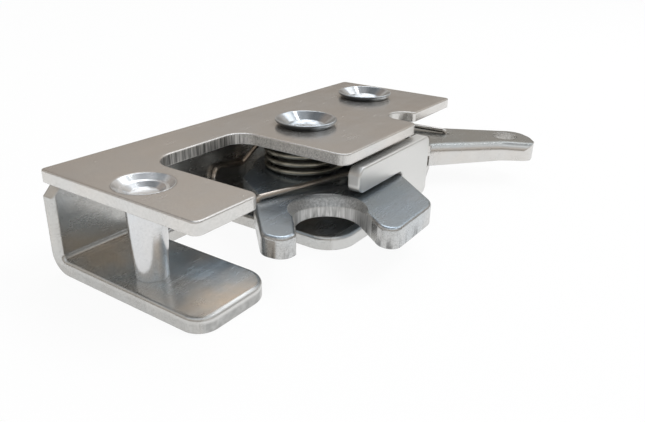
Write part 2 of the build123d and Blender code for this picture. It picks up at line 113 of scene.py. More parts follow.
# Two values of a noise, between which its marks go from none to full
MOTTLE_TONES = (0.35, 0.65)
SPECK_TONES = (0.40, 0.72)
LOBE_BAND_TONES = (0.30, 0.70)
CUP_BLOTCH_TONES = (0.48, 0.62)
ROLLED_TONES = (0.30, 0.70)
SHEAR_TONES = (0.38, 0.62)
SMUDGE_TONES = (0.50, 0.64)

# Lightness of the marks against the metal's own colour, and amount of the painted highlight
# on rounded edges
PATCH_SHADE = 0.70
SPECK_SHADE = 0.45
CREST_SHADE = 1.10
EDGE_HIGHLIGHT = 1.30
EDGE_HIGHLIGHT_AMOUNT = 0.5

# Edge round of the rivets and of the wire, as a share of the plates'
RIVET_EDGE = 0.6
WIRE_EDGE = 0.5

# Painted light over the level faces of single pieces: painted shade on the cover and the
# lever, a painted bluish reflection on the fork; and the turn of the lever's grain in
# radians
COVER_TOP_SHADE = (0.84, 0.82, 0.805)
FORK_TOP_REFLECTION = (0.72, 0.81, 0.90)
LEVER_TOP_SHADE = (0.56, 0.58, 0.58)
LEVER_GRAIN_TURN = 0.8

# Dark marks on single pieces: lightness against the metal's own colour, and amount. They
# are a darker band on the base plate's lobe, smudges with painted shade on the fork,
# painted shade on the cups' outside and painted reflection on their floors
LOBE_BAND_MARK = (0.10, 0.80)
SMUDGE_AND_SHADE_MARK = (0.12, 0.80)
CUP_OUTSIDE_SHADE_MARK = (0.15, 0.92)
CUP_FLOOR_REFLECTION_MARK = (0.25, 0.80)

# Share of metal, dullness of the marks, and their relief with its depths in metres
METAL_SHARE = 0.88
PATCH_GLOSS = 0.15
ROLLED_GLOSS = 0.04
SHEAR_ROUGHNESS = 0.42
SPECK_RELIEF = 0.3
SWELL_RELIEF = 0.6
SHEAR_RELIEF = 0.9
GRAIN_RELIEF = (0.30, 0.80)
ROLLED_DEPTH = 0.00003
SWELL_DEPTH = 0.00020
SHEAR_DEPTH = 0.00015

# Darker band low on the base plate's lobe: least and most of it, and its share off the
# front side
LOBE_BAND_AMOUNT = (0.35, 0.75)
LOBE_BAND_OFF_FRONT = 0.35

# Torsion springs: node, body that the low leg hooks into, pivot, direction in degrees where
# the high leg leaves the coil, height above which that leg's start lies, and height where
# the winding ends
SPRINGS = (
    ("fork_spring", "fork", (0.0, 0.0), 44.92, 0.0167, 0.0168),
    ("lever_spring", "release_lever", (0.0346, 0.0044), 165.36, 0.0171, 0.0172),
)

# Both springs: height where the winding begins, outside and inside of the coil from the
# pivot, and the gap up to which a mesh's points are merged
COIL_REACH = 0.0108
COIL_INSIDE = 0.0086
MERGE_GAP = 0.000001

# Walls and ceiling of the room: height of the direction, from level at 0 to upwards at 1,
# and colour
ROOM_WALLS = (
    (0.00, (0.300, 0.275, 0.250)),
    (0.16, (0.250, 0.220, 0.190)),
    (0.30, (0.470, 0.430, 0.385)),
    (0.48, (0.650, 0.610, 0.565)),
    (0.75, (0.600, 0.620, 0.640)),
    (0.88, (0.900, 0.950, 1.000)),
    (1.00, (0.920, 0.970, 1.000)),
)

# Things in the room that show in the metal: direction, half angles in degrees where each is
# still full and where it has faded, colour, and share. Four are dim, and give the steel its
# dark parts. Three are bright, and the last of them is the small glint in the cups.
ROOM_PATCHES = (
    ((0.02, 0.02, 1.00), 10.0, 24.0, (0.36, 0.38, 0.41), 0.90),
    ((-0.06, 0.45, 0.89), 10.0, 26.0, (0.08, 0.09, 0.10), 0.90),
    ((0.20, 0.80, 0.56), 10.0, 22.0, (0.24, 0.18, 0.14), 0.80),
    ((0.50, -0.77, 0.38), 12.0, 22.0, (0.26, 0.26, 0.25), 0.85),
    ((0.68, -0.19, 0.70), 8.0, 16.0, (1.80, 1.84, 1.90), 1.00),
    ((0.45, 0.33, 0.83), 9.0, 19.0, (3.00, 3.10, 3.25), 1.00),
    ((0.35, -0.16, 0.92), 1.0, 3.2, (8.00, 8.20, 8.50), 1.00),
)

# Floor and lamp: places and sizes in metres, and how white the floor is to the camera and
# in the metal
FLOOR_DROP = 0.0002
FLOOR_COLOUR = (0.90, 0.90, 0.90)
FLOOR_ROUGHNESS = 0.8
FLOOR_GLOW_SEEN = 0.94
FLOOR_GLOW_MIRRORED = 0.85
LAMP_PLACE = (0.35, -0.30, 0.60)
LAMP_SIZE = 0.3
WHITE = (1.0, 1.0, 1.0)

# Camera: its directions to the right and ahead, sensor in millimetres, and near limit
CAMERA_RIGHT = (0.5667, -0.8236, 0.0222)
CAMERA_AHEAD = (0.7622, 0.5139, -0.3936)
CAMERA_SENSOR = 36.0
CAMERA_NEAR = 0.005


# Sizes and colours

class LatchFinish(bpy.types.PropertyGroup):
    """Colours and surface values of the latch's finishes."""

    cover_colour: bpy.props.FloatVectorProperty(
        name="Cover colour", description="Satin zinc of the flat cover plate",
        subtype="COLOR", size=3, min=0.0, max=1.0, default=(0.740, 0.725, 0.700))
    cover_roughness: bpy.props.FloatProperty(
        name="Cover roughness", description="How satin the cover plate is",
        min=0.0, max=1.0, default=0.22)
    plate_colour: bpy.props.FloatVectorProperty(
        name="Plate colour", description="Bright zinc of the folded base plate",
        subtype="COLOR", size=3, min=0.0, max=1.0, default=(0.640, 0.635, 0.615))
    plate_roughness: bpy.props.FloatProperty(
        name="Plate roughness", description="How dull the base plate's bright zinc is",
        min=0.0, max=1.0, default=0.24)
    satin_colour: bpy.props.FloatVectorProperty(
        name="Satin colour", description="Pale satin zinc of the guide flange",
        subtype="COLOR", size=3, min=0.0, max=1.0, default=(0.740, 0.740, 0.725))
    satin_roughness: bpy.props.FloatProperty(
        name="Satin roughness",
        description="How dull the guide flange, the bushes and the rings are",
        min=0.0, max=1.0, default=0.38)
    fork_colour: bpy.props.FloatVectorProperty(
        name="Fork colour", description="Bright zinc of the fork",
        subtype="COLOR", size=3, min=0.0, max=1.0, default=(0.650, 0.650, 0.640))
    fork_roughness: bpy.props.FloatProperty(
        name="Fork roughness", description="How dull the fork and the release lever are",
        min=0.0, max=1.0, default=0.24)
    lever_colour: bpy.props.FloatVectorProperty(
        name="Lever colour", description="Bright zinc of the release lever",
        subtype="COLOR", size=3, min=0.0, max=1.0, default=(0.720, 0.715, 0.700))
    rivet_colour: bpy.props.FloatVectorProperty(
        name="Rivet colour", description="Bluish bright zinc of the two cupped rivets",
        subtype="COLOR", size=3, min=0.0, max=1.0, default=(0.660, 0.685, 0.705))
    rivet_roughness: bpy.props.FloatProperty(
        name="Rivet roughness", description="How dull the two cupped rivets are",
        min=0.0, max=1.0, default=0.13)
    spacer_colour: bpy.props.FloatVectorProperty(
        name="Spacer colour", description="Pale zinc of the left lobe's rivet",
        subtype="COLOR", size=3, min=0.0, max=1.0, default=(0.780, 0.800, 0.820))
    spacer_roughness: bpy.props.FloatProperty(
        name="Spacer roughness", description="How dull the left lobe's rivet is",
        min=0.0, max=1.0, default=0.19)
    bush_colour: bpy.props.FloatVectorProperty(
        name="Bush colour", description="Dark oiled steel of the bushes and rings",
        subtype="COLOR", size=3, min=0.0, max=1.0, default=(0.160, 0.155, 0.145))
    wire_colour: bpy.props.FloatVectorProperty(
        name="Wire colour", description="Bronze-tinted wire of the fork spring's legs",
        subtype="COLOR", size=3, min=0.0, max=1.0, default=(0.520, 0.460, 0.400))
    # Painted shade: the fork spring's coil is the same wire as its legs, painted darker
    # where it sits under the cover
    coil_shade_colour: bpy.props.FloatVectorProperty(
        name="Coil colour", description="Dark olive wire of the fork spring's coil",
        subtype="COLOR", size=3, min=0.0, max=1.0, default=(0.420, 0.400, 0.340))
    hook_colour: bpy.props.FloatVectorProperty(
        name="Hook colour", description="Paler wire of the lever's spring",
        subtype="COLOR", size=3, min=0.0, max=1.0, default=(0.600, 0.590, 0.570))
    wire_roughness: bpy.props.FloatProperty(
        name="Wire roughness", description="How dull the drawn wire is",
        min=0.0, max=1.0, default=0.20)
    edge_round: bpy.props.FloatProperty(
        name="Edge round", description="Radius that the plating gives to sharp edges",
        unit="LENGTH", min=0.0, max=0.002, default=0.0004)


class LatchStage(bpy.types.PropertyGroup):
    """Camera, floor and light sizes."""

    camera_place: bpy.props.FloatVectorProperty(
        name="Camera place", description="Where the camera stands",
        subtype="TRANSLATION", unit="LENGTH", size=3,
        default=(-0.11893, -0.0856, 0.0615))
    lens: bpy.props.FloatProperty(
        name="Lens", description="Focal length on a 36 mm wide sensor, in millimetres",
        min=10.0, max=200.0, default=34.82)
    floor_size: bpy.props.FloatProperty(
        name="Floor size", description="Side of the pale floor",
        unit="LENGTH", min=0.5, max=20.0, default=6.0)
    lamp_power: bpy.props.FloatProperty(
        name="Main lamp", description="Power of the soft lamp over the latch, in watts",
        min=0.0, max=100.0, default=2.5)
    room_level: bpy.props.FloatProperty(
        name="Room light", description="Level of the pale room around the latch",
        min=0.0, max=4.0, default=1.0)


# Node helpers

def new_material(name):
    """Empty node material with its output, its shader and its object coordinates."""
    material = bpy.data.materials.new(name)
    material.use_nodes = True
    tree = material.node_tree
    tree.nodes.clear()
    output = tree.nodes.new("ShaderNodeOutputMaterial")
    shader = tree.nodes.new("ShaderNodeBsdfPrincipled")
    tree.links.new(shader.outputs["BSDF"], output.inputs["Surface"])
    place = tree.nodes.new("ShaderNodeTexCoord")
    return material, tree, shader, place.outputs["Object"]


def feed(tree, socket, value):
    """Gives a socket an output, a number, a vector or a colour without its alpha."""
    if isinstance(value, bpy.types.NodeSocket):
        tree.links.new(value, socket)
    elif socket.type == "RGBA":
        socket.default_value = (*value, 1.0)
    else:
        socket.default_value = value


def arithmetic(tree, kind, first, second=0.0):
    """One Math node on two values or numbers."""
    node = tree.nodes.new("ShaderNodeMath")
    node.operation = kind
    feed(tree, node.inputs[0], first)
    feed(tree, node.inputs[1], second)
    return node.outputs["Value"]


def product(tree, first, *others):
    """Values or numbers multiplied together."""
    for other in others:
        first = arithmetic(tree, "MULTIPLY", first, other)
    return first


def vector_value(tree, kind, first, second=(0.0, 0.0, 0.0)):
    """The number that a Vector Math node gives, such as a length or a dot product."""
    node = tree.nodes.new("ShaderNodeVectorMath")
    node.operation = kind
    feed(tree, node.inputs[0], first)
    feed(tree, node.inputs[1], second)
    return node.outputs["Value"]


def vector_sum(tree, first, factors, added):
    """Vector times a vector, plus a vector."""
    node = tree.nodes.new("ShaderNodeVectorMath")
    node.operation = "MULTIPLY_ADD"
    feed(tree, node.inputs[0], first)
    feed(tree, node.inputs[1], factors)
    feed(tree, node.inputs[2], added)
    return node.outputs["Vector"]


def stretched(tree, place, scale, turn=0.0):
    """Object coordinates scaled per axis and turned about Z."""
    node = tree.nodes.new("ShaderNodeMapping")
    feed(tree, node.inputs["Scale"], scale)
    feed(tree, node.inputs["Rotation"], (0.0, 0.0, turn))
    feed(tree, node.inputs["Vector"], place)
    return node.outputs["Vector"]


def noise(tree, place, cells, detail, rough):
    """Noise value, from its cells per metre of the coordinates given."""
    node = tree.nodes.new("ShaderNodeTexNoise")
    feed(tree, node.inputs["Scale"], cells)
    feed(tree, node.inputs["Detail"], detail)
    feed(tree, node.inputs["Roughness"], rough)
    feed(tree, node.inputs["Vector"], place)
    return node.outputs["Fac"]


def remap(tree, value, low, high, to_low, to_high):
    """Value mapped from one range to another, clamped."""
    node = tree.nodes.new("ShaderNodeMapRange")
    feed(tree, node.inputs["From Min"], low)
    feed(tree, node.inputs["From Max"], high)
    feed(tree, node.inputs["To Min"], to_low)
    feed(tree, node.inputs["To Max"], to_high)
    feed(tree, node.inputs["Value"], value)
    return node.outputs["Result"]


def rising(tree, value, low, high):
    """0 up to the low value, 1 from the high value on, and evenly between."""
    return remap(tree, value, low, high, 0.0, 1.0)


def falling(tree, value, low, high):
    """1 up to the low value, 0 from the high value on, and evenly between."""
    return remap(tree, value, low, high, 1.0, 0.0)


def within(tree, value, low, high, fade):
    """1 between two values, falling to 0 over a fade outside them."""
    return product(tree, rising(tree, value, low - fade, low),
                   falling(tree, value, high, high + fade))


def mixed(tree, factor, first, second):
    """Value that goes from first to second with the factor."""
    node = tree.nodes.new("ShaderNodeMix")
    feed(tree, node.inputs["Factor"], factor)
    feed(tree, node.inputs[2], first)
    feed(tree, node.inputs[3], second)
    return node.outputs[0]


def blended(tree, factor, first, second, way="MIX"):
    """Colour that goes from first to second with the factor, or to first times second
    where the way is MULTIPLY."""
    node = tree.nodes.new("ShaderNodeMix")
    node.data_type = "RGBA"
    node.blend_type = way
    feed(tree, node.inputs["Factor"], factor)
    feed(tree, node.inputs[6], first)
    feed(tree, node.inputs[7], second)
    return node.outputs[2]


def bumped(tree, height, strength, depth, before):
    """Normal tilted by a height value."""
    node = tree.nodes.new("ShaderNodeBump")
    feed(tree, node.inputs["Strength"], strength)
    feed(tree, node.inputs["Distance"], depth)
    feed(tree, node.inputs["Height"], height)
    feed(tree, node.inputs["Normal"], before)
    return node.outputs["Normal"]


def along(tree, vector, axis):
    """One component of a vector, by its axis letter."""
    node = tree.nodes.new("ShaderNodeSeparateXYZ")
    feed(tree, node.inputs[0], vector)
    return node.outputs[axis]


def facing(tree, axis):
    """How far the face's own normal points along an axis, from -1 to 1."""
    geometry = tree.nodes.new("ShaderNodeNewGeometry")
    return along(tree, geometry.outputs["True Normal"], axis)


def levelness(tree):
    """Height of the face's own normal without its sign, from 0 upright to 1 level."""
    return arithmetic(tree, "ABSOLUTE", facing(tree, "Z"))


def level_faces(tree):
    """1 on faces that lie nearly level."""
    return rising(tree, levelness(tree), *LEVEL_FACES)


def upright_faces(tree):
    """1 on faces that stand nearly upright."""
    return falling(tree, levelness(tree), *UPRIGHT_FACES)


def distance_from(tree, place, centre):
    """Distance from an upright axis: the length of the offset from its centre, without
    the offset's height."""
    offset = vector_sum(tree, place, (1.0, 1.0, 0.0), (-centre[0], -centre[1], 0.0))
    return vector_value(tree, "LENGTH", offset)


def rounded_edge(tree, radius):
    """Normal that rounds sharp edges, and a value that is 1 on those rounded edges."""
    bevel = tree.nodes.new("ShaderNodeBevel")
    bevel.samples = EDGE_SAMPLES
    feed(tree, bevel.inputs["Radius"], radius)
    geometry = tree.nodes.new("ShaderNodeNewGeometry")
    likeness = vector_value(tree, "DOT_PRODUCT", bevel.outputs["Normal"],
                            geometry.outputs["Normal"])
    return bevel.outputs["Normal"], falling(tree, likeness, *EDGE_LIKENESS)


def mix_shaders(tree, output, share, first, second):
    """Ends the tree in a mix that goes from the first shader to the second."""
    node = tree.nodes.new("ShaderNodeMixShader")
    feed(tree, node.inputs["Fac"], share)
    feed(tree, node.inputs[1], first)
    feed(tree, node.inputs[2], second)
    feed(tree, output.inputs["Surface"], node.outputs["Shader"])


def scaled(colour, factor):
    """Colour made lighter or darker."""
    return tuple(min(1.0, part * factor) for part in colour)


def tinted(colour, cool):
    """Colour moved towards blue, or towards straw yellow where cool is negative."""
    red, green, blue = colour
    return (red * (1.0 - cool), green, min(1.0, blue * (1.0 + cool)))


# Places of the finishes, each 1 where its finish is full and 0 where there is none

def cover_mouth_cut(tree, place):
    """Sheared sides of the cover's mouth."""
    spans = [within(tree, along(tree, place, axis), low, high, fade)
             for axis, low, high, fade in zip("XY", COVER_MOUTH_LOW, COVER_MOUTH_HIGH,
                                              COVER_MOUTH_FADE)]
    return product(tree, *spans, upright_faces(tree))


def front_flange(tree, place):
    """Guide flange in front, with the outside of its fold."""
    return falling(tree, along(tree, place, "Y"), *FLANGE_EDGE)


def base_lobe_dark_band(tree, place):
    """Darker band low on the sides of the base plate's lobe, strongest on its front."""
    band = within(tree, along(tree, place, "Z"), *LOBE_BAND_HEIGHTS, LOBE_BAND_FADE)
    front = falling(tree, facing(tree, "Y"), *FRONT_FACES)
    side = mixed(tree, front, LOBE_BAND_OFF_FRONT, 1.0)
    lobe = falling(tree, along(tree, place, "X"), *LOBE_BAND_EDGE)
    darkened = remap(tree, noise(tree, place, *LOBE_BAND_NOISE), *LOBE_BAND_TONES, *LOBE_BAND_AMOUNT)
    return product(tree, band, side, lobe, darkened)


def fork_mouth_cut(tree, place):
    """Wall and bevel of the fork's mouth."""
    near = falling(tree, distance_from(tree, place, FORK_MOUTH), *FORK_MOUTH_EDGE)
    return product(tree, near, falling(tree, levelness(tree), *MOUTH_FACES))


def smudges_and_low_shade(tree, place):
    """Brushed smudges low on upright sides, standing also for painted shade there: they
    fade out upwards.
    """
    brushed = noise(tree, stretched(tree, place, SMUDGE_STREAKS), *SMUDGES)
    low = falling(tree, along(tree, place, "Z"), *LOW_SHADE_EDGE)
    return product(tree, rising(tree, brushed, *SMUDGE_TONES), low, upright_faces(tree))


def cup_outside_painted_shade(tree, place):
    """Painted shade on the left of the cups' outside, which flares over the cover."""
    above = rising(tree, along(tree, place, "Z"), COVER_TOP - CUP_FADE, COVER_TOP)
    outside = falling(tree, facing(tree, "Z"), *CUP_OUTSIDE_FACES)
    left = falling(tree, facing(tree, "X"), *CUP_LEFT_FACES)
    return product(tree, above, outside, left)


def cup_floor_painted_reflection(tree, place):
    """Painted reflection: dark blotches on the flat floor of the cups."""
    floor = rising(tree, levelness(tree), *CUP_FLOOR_FACES)
    blotches = rising(tree, noise(tree, place, *CUP_FLOOR_BLOTCHES), *CUP_BLOTCH_TONES)
    low = falling(tree, along(tree, place, "Z"), COVER_TOP, COVER_TOP + CUP_FADE)
    return product(tree, floor, blotches, low)


def fork_coil_shade(tree, place):
    """Coil round the fork's pivot, without its legs: where its wire gets painted shade."""
    return falling(tree, distance_from(tree, place, (0.0, 0.0)), *FORK_COIL_EDGE)


# Finish

def shear_marks(tree, place, grained):
    """Upright streaks of sheared metal. Where grained is set, faces to the left have fine
    grains in their place."""
    streaks = noise(tree, stretched(tree, place, SHEAR_STREAKS), *SHEAR)
    if not grained:
        return streaks
    grains = remap(tree, noise(tree, place, *SHEAR_GRAINS), 0.0, 1.0, *GRAIN_RELIEF)
    return mixed(tree, falling(tree, facing(tree, "X"), *GRAINED_FACES), streaks, grains)


def dark_mark(place, colour, mark):
    """Mark in a darker tone of a colour, for the marks of a finish that lie under or over
    its painted edge highlight.
    """
    lightness, amount = mark
    return place, scaled(colour, lightness), amount


def marked(tree, place, ground, marks):
    """Colour with each mark laid over it: its place, its colour and its amount."""
    for mark_place, colour, amount in marks:
        ground = blended(tree, product(tree, mark_place(tree, place), amount), ground,
                         colour)
    return ground


def zinc(name, colour, roughness, edge_round, grain=SHEET_GRAIN, turn=0.0, tint=0.05,
         bloom=None, cloud=0.12, speckle=0.2, wave=0.2, painted_top=None, satin=None, cut=None,
         cut_dark=0.35, cut_grained=False, marks_under_edges=(), marks=()):
    """Zinc on steel: cool and straw-coloured clouds, darker patches, fine specks, long
    rolling marks along the grain, and softly rounded edges with a painted highlight.

    tint and bloom say how far the clouds' two colours part, bloom on level faces. cloud and
    speckle are the strengths of the patches and the specks, and wave is that of the relief.
    painted_top is painted light over level faces, a painted shade or a painted reflection.
    satin is a place and the roughness there. cut is the place of sheared sides, and
    cut_dark how light their hollows are. marks_under_edges and marks hold a place, a colour
    and an amount each: marks_under_edges lie under the painted edge highlight, and marks
    over it."""
    material, tree, shader, place = new_material(name)
    clouds = rising(tree, noise(tree, place, *CLOUDS), *MOTTLE_TONES)
    patches = rising(tree, noise(tree, place, *PATCHES), *MOTTLE_TONES)
    specks = rising(tree, noise(tree, place, *SPECKS), *SPECK_TONES)
    rolled = noise(tree, stretched(tree, place, grain, turn), *ROLLED)

    ground = blended(tree, clouds, tinted(colour, tint), tinted(colour, -tint))
    if bloom is not None:
        bloomed = blended(tree, clouds, tinted(colour, bloom), tinted(colour, -bloom))
        ground = blended(tree, level_faces(tree), ground, bloomed)
    ground = blended(tree, product(tree, patches, cloud), ground,
                     scaled(colour, PATCH_SHADE))
    ground = blended(tree, product(tree, specks, speckle), ground,
                     scaled(colour, SPECK_SHADE))
    # Painted light: level faces are darkened or tinted as a painted shade or a painted
    # reflection
    if painted_top is not None:
        ground = blended(tree, level_faces(tree), ground, painted_top, "MULTIPLY")

    gloss = mixed(tree, patches, roughness * (1.0 - PATCH_GLOSS),
                  roughness * (1.0 + PATCH_GLOSS))
    if satin is not None:
        satin_place, satin_roughness = satin
        gloss = mixed(tree, satin_place(tree, place), gloss, satin_roughness)
    gloss = arithmetic(tree, "ADD", gloss, remap(tree, rolled, *ROLLED_TONES,
                                                 -ROLLED_GLOSS, ROLLED_GLOSS))

    normal, edge = rounded_edge(tree, edge_round)
    relief = arithmetic(tree, "ADD", rolled, product(tree, specks, SPECK_RELIEF))
    normal = bumped(tree, relief, wave, ROLLED_DEPTH, normal)
    normal = bumped(tree, noise(tree, place, *SWELL), wave * SWELL_RELIEF, SWELL_DEPTH,
                    normal)

    if cut is not None:
        where = cut(tree, place)
        shear = shear_marks(tree, place, cut_grained)
        torn = blended(tree, rising(tree, shear, *SHEAR_TONES), scaled(colour, cut_dark),
                       scaled(colour, CREST_SHADE))
        ground = blended(tree, where, ground, torn)
        gloss = mixed(tree, where, gloss, SHEAR_ROUGHNESS)
        normal = bumped(tree, product(tree, shear, where), SHEAR_RELIEF, SHEAR_DEPTH,
                        normal)
    # Marks that lie under the painted edge highlight, such as the fork's smudges with
    # painted shade
    ground = marked(tree, place, ground, marks_under_edges)
    # Painted highlight: rounded edges are painted lighter than the metal
    ground = blended(tree, product(tree, edge, EDGE_HIGHLIGHT_AMOUNT), ground,
                     scaled(colour, EDGE_HIGHLIGHT))
    ground = marked(tree, place, ground, marks)

    shader.inputs["Metallic"].default_value = METAL_SHARE
    feed(tree, shader.inputs["Base Color"], ground)
    feed(tree, shader.inputs["Roughness"], gloss)
    feed(tree, shader.inputs["Normal"], normal)
    return material


def dress(nodes, material):
    """Puts the material on CAD nodes."""
    for name in nodes:
        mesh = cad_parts[name].data
        mesh.materials.clear()
        mesh.materials.append(material)


# Spring wire

def high_leg(pivot, start, leg_low):
    """Test for a place on a spring's high leg, which rests on the housing. The leg leaves
    the coil in the start direction and runs on anticlockwise. A place is on it from there
    to 135 degrees further, and either beyond the coil or above leg_low near its start."""
    out = Vector((math.cos(math.radians(start)), math.sin(math.radians(start))))

    def on_leg(spot):
        """True for a place on the high leg."""
        offset = Vector((spot.x - pivot[0], spot.y - pivot[1]))
        reach = offset.dot(out)
        past = out.x * offset.y - out.y * offset.x
        leaving = spot.z > leg_low and reach > COIL_INSIDE
        return past > 0.0 and reach + past > 0.0 and (offset.length > COIL_REACH or leaving)

    return on_leg


def wire_part(name, node, wire, wanted):
    """Merged copy of those faces of a spring whose centre is wanted, closed where it is cut
    off."""
    form = bmesh.new()
    form.from_mesh(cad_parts[node].data)
    bmesh.ops.remove_doubles(form, verts=form.verts, dist=MERGE_GAP)
    rest = [face for face in form.faces if not wanted(face.calc_center_median())]
    bmesh.ops.delete(form, geom=rest, context="FACES")
    rim = [edge for edge in form.edges if edge.is_boundary]
    bmesh.ops.holes_fill(form, edges=rim, sides=0)
    bmesh.ops.recalc_face_normals(form, faces=form.faces)
    form.verts.index_update()
    mesh = bpy.data.meshes.new(name)
    mesh.from_pydata([tuple(vert.co) for vert in form.verts], [],
                     [[vert.index for vert in face.verts] for face in form.faces])
    form.free()
    mesh.shade_smooth()
    mesh.materials.append(wire)
    piece = bpy.data.objects.new(name, mesh)
    bpy.context.scene.collection.objects.link(piece)
    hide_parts(node)
    return piece


# Pieces

class LATCH_OT_cover(bpy.types.Operator):
    """Satin zinc on the flat cover plate, torn along its mouth, with painted shade on its
    level faces
    """

    bl_idname = "latch.cover"
    bl_label = "Cover plate"

    def execute(self, context):
        look = context.scene.latch_finish
        dress(["cover_plate"], zinc(
            "cover_zinc", look.cover_colour, look.cover_roughness, look.edge_round,
            grain=COVER_GRAIN, tint=0.02, cloud=0.10, speckle=0.18, wave=0.14,
            painted_top=COVER_TOP_SHADE, cut=cover_mouth_cut, cut_dark=0.30, cut_grained=True))
        return {"FINISHED"}


class LATCH_OT_base(bpy.types.Operator):
    """Bright zinc on the folded base plate, satin on its flange and with a darker band low
    on its lobe
    """

    bl_idname = "latch.base"
    bl_label = "Base plate"

    def execute(self, context):
        look = context.scene.latch_finish
        dress(["base_plate"], zinc(
            "base_zinc", look.plate_colour, look.plate_roughness, look.edge_round,
            tint=0.03, bloom=-0.17, cloud=0.24, speckle=0.26, wave=0.24,
            satin=(front_flange, look.satin_roughness),
            marks=((front_flange, look.satin_colour, 1.0),
                   dark_mark(base_lobe_dark_band, look.plate_colour, LOBE_BAND_MARK))))
        return {"FINISHED"}


class LATCH_OT_fork(bpy.types.Operator):
    """Speckled bright zinc on the fork, with a sheared mouth, brushed smudges and painted
    shade low on its sides, and a painted bluish reflection on its level faces
    """

    bl_idname = "latch.fork"
    bl_label = "Fork"

    def execute(self, context):
        look = context.scene.latch_finish
        dress(["fork"], zinc(
            "fork_zinc", look.fork_colour, look.fork_roughness, look.edge_round,
            tint=0.05, cloud=0.28, speckle=0.46, wave=0.30, painted_top=FORK_TOP_REFLECTION,
            cut=fork_mouth_cut, cut_dark=0.70,
            marks_under_edges=(dark_mark(smudges_and_low_shade, look.fork_colour, SMUDGE_AND_SHADE_MARK),)))
        return {"FINISHED"}


class LATCH_OT_lever(bpy.types.Operator):
    """Smooth zinc on the release lever, with painted shade on its level faces"""

    bl_idname = "latch.lever"
    bl_label = "Release lever"

    def execute(self, context):
        look = context.scene.latch_finish
        dress(["release_lever"], zinc(
            "lever_zinc", look.lever_colour, look.fork_roughness, look.edge_round,
            turn=LEVER_GRAIN_TURN, tint=0.03, cloud=0.10, speckle=0.12, wave=0.08,
            painted_top=LEVER_TOP_SHADE))
        return {"FINISHED"}


class LATCH_OT_rivets(bpy.types.Operator):
    """Bluish bright zinc on the rivets, with painted shade on the cups' outside and painted
    reflection on their floors, and dark steel on the bushes and rings
    """

    bl_idname = "latch.rivets"
    bl_label = "Rivets and rings"

    def execute(self, context):
        look = context.scene.latch_finish
        dress(["fork_rivet", "lever_rivet"], zinc(
            "rivet_zinc", look.rivet_colour, look.rivet_roughness,
            look.edge_round * RIVET_EDGE, grain=TURNED_GRAIN, tint=0.05, cloud=0.76,
            speckle=0.22, wave=0.25,
            # Painted shade on the left of the cups' outside and painted reflection on their
            # floors
            marks=(dark_mark(cup_outside_painted_shade, look.rivet_colour, CUP_OUTSIDE_SHADE_MARK),
                   dark_mark(cup_floor_painted_reflection, look.rivet_colour, CUP_FLOOR_REFLECTION_MARK))))
        dress(["spacer_rivet"], zinc(
            "spacer_zinc", look.spacer_colour, look.spacer_roughness,
            look.edge_round * RIVET_EDGE, grain=TURNED_GRAIN, tint=0.03, cloud=0.16,
            speckle=0.15, wave=0.3))
        dress(["fork_bush", "lever_bush", "fork_spacer", "lever_spacer"], zinc(
            "bush_steel", look.bush_colour, look.satin_roughness, look.edge_round,
            grain=TURNED_GRAIN))
        return {"FINISHED"}


class LATCH_OT_springs(bpy.types.Operator):
    """Two torsion springs, each split into its high leg, which goes with the housing, and
    its coil with the low leg
    """

    bl_idname = "latch.springs"
    bl_label = "Springs"

    def execute(self, context):
        look = context.scene.latch_finish
        colours = {"fork_spring": look.wire_colour, "lever_spring": look.hook_colour}
        # Painted shade on the fork spring's coil
        marks = {"fork_spring": ((fork_coil_shade, look.coil_shade_colour, 1.0),), "lever_spring": ()}
        for node, body, pivot, start, leg_low, winding_top in SPRINGS:
            wire = zinc(
                node + "_wire", colours[node], look.wire_roughness,
                look.edge_round * WIRE_EDGE, grain=WIRE_GRAIN, tint=0.06, cloud=0.24,
                speckle=0.15, wave=0.15, marks=marks[node])
            on_leg = high_leg(pivot, start, leg_low)
            leg = wire_part(node + "_leg", node, wire, on_leg)
            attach(leg, "housing")
            coil = wire_part(node + "_coil", node, wire, lambda spot: not on_leg(spot))
            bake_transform(coil)
        return {"FINISHED"}


# Stage

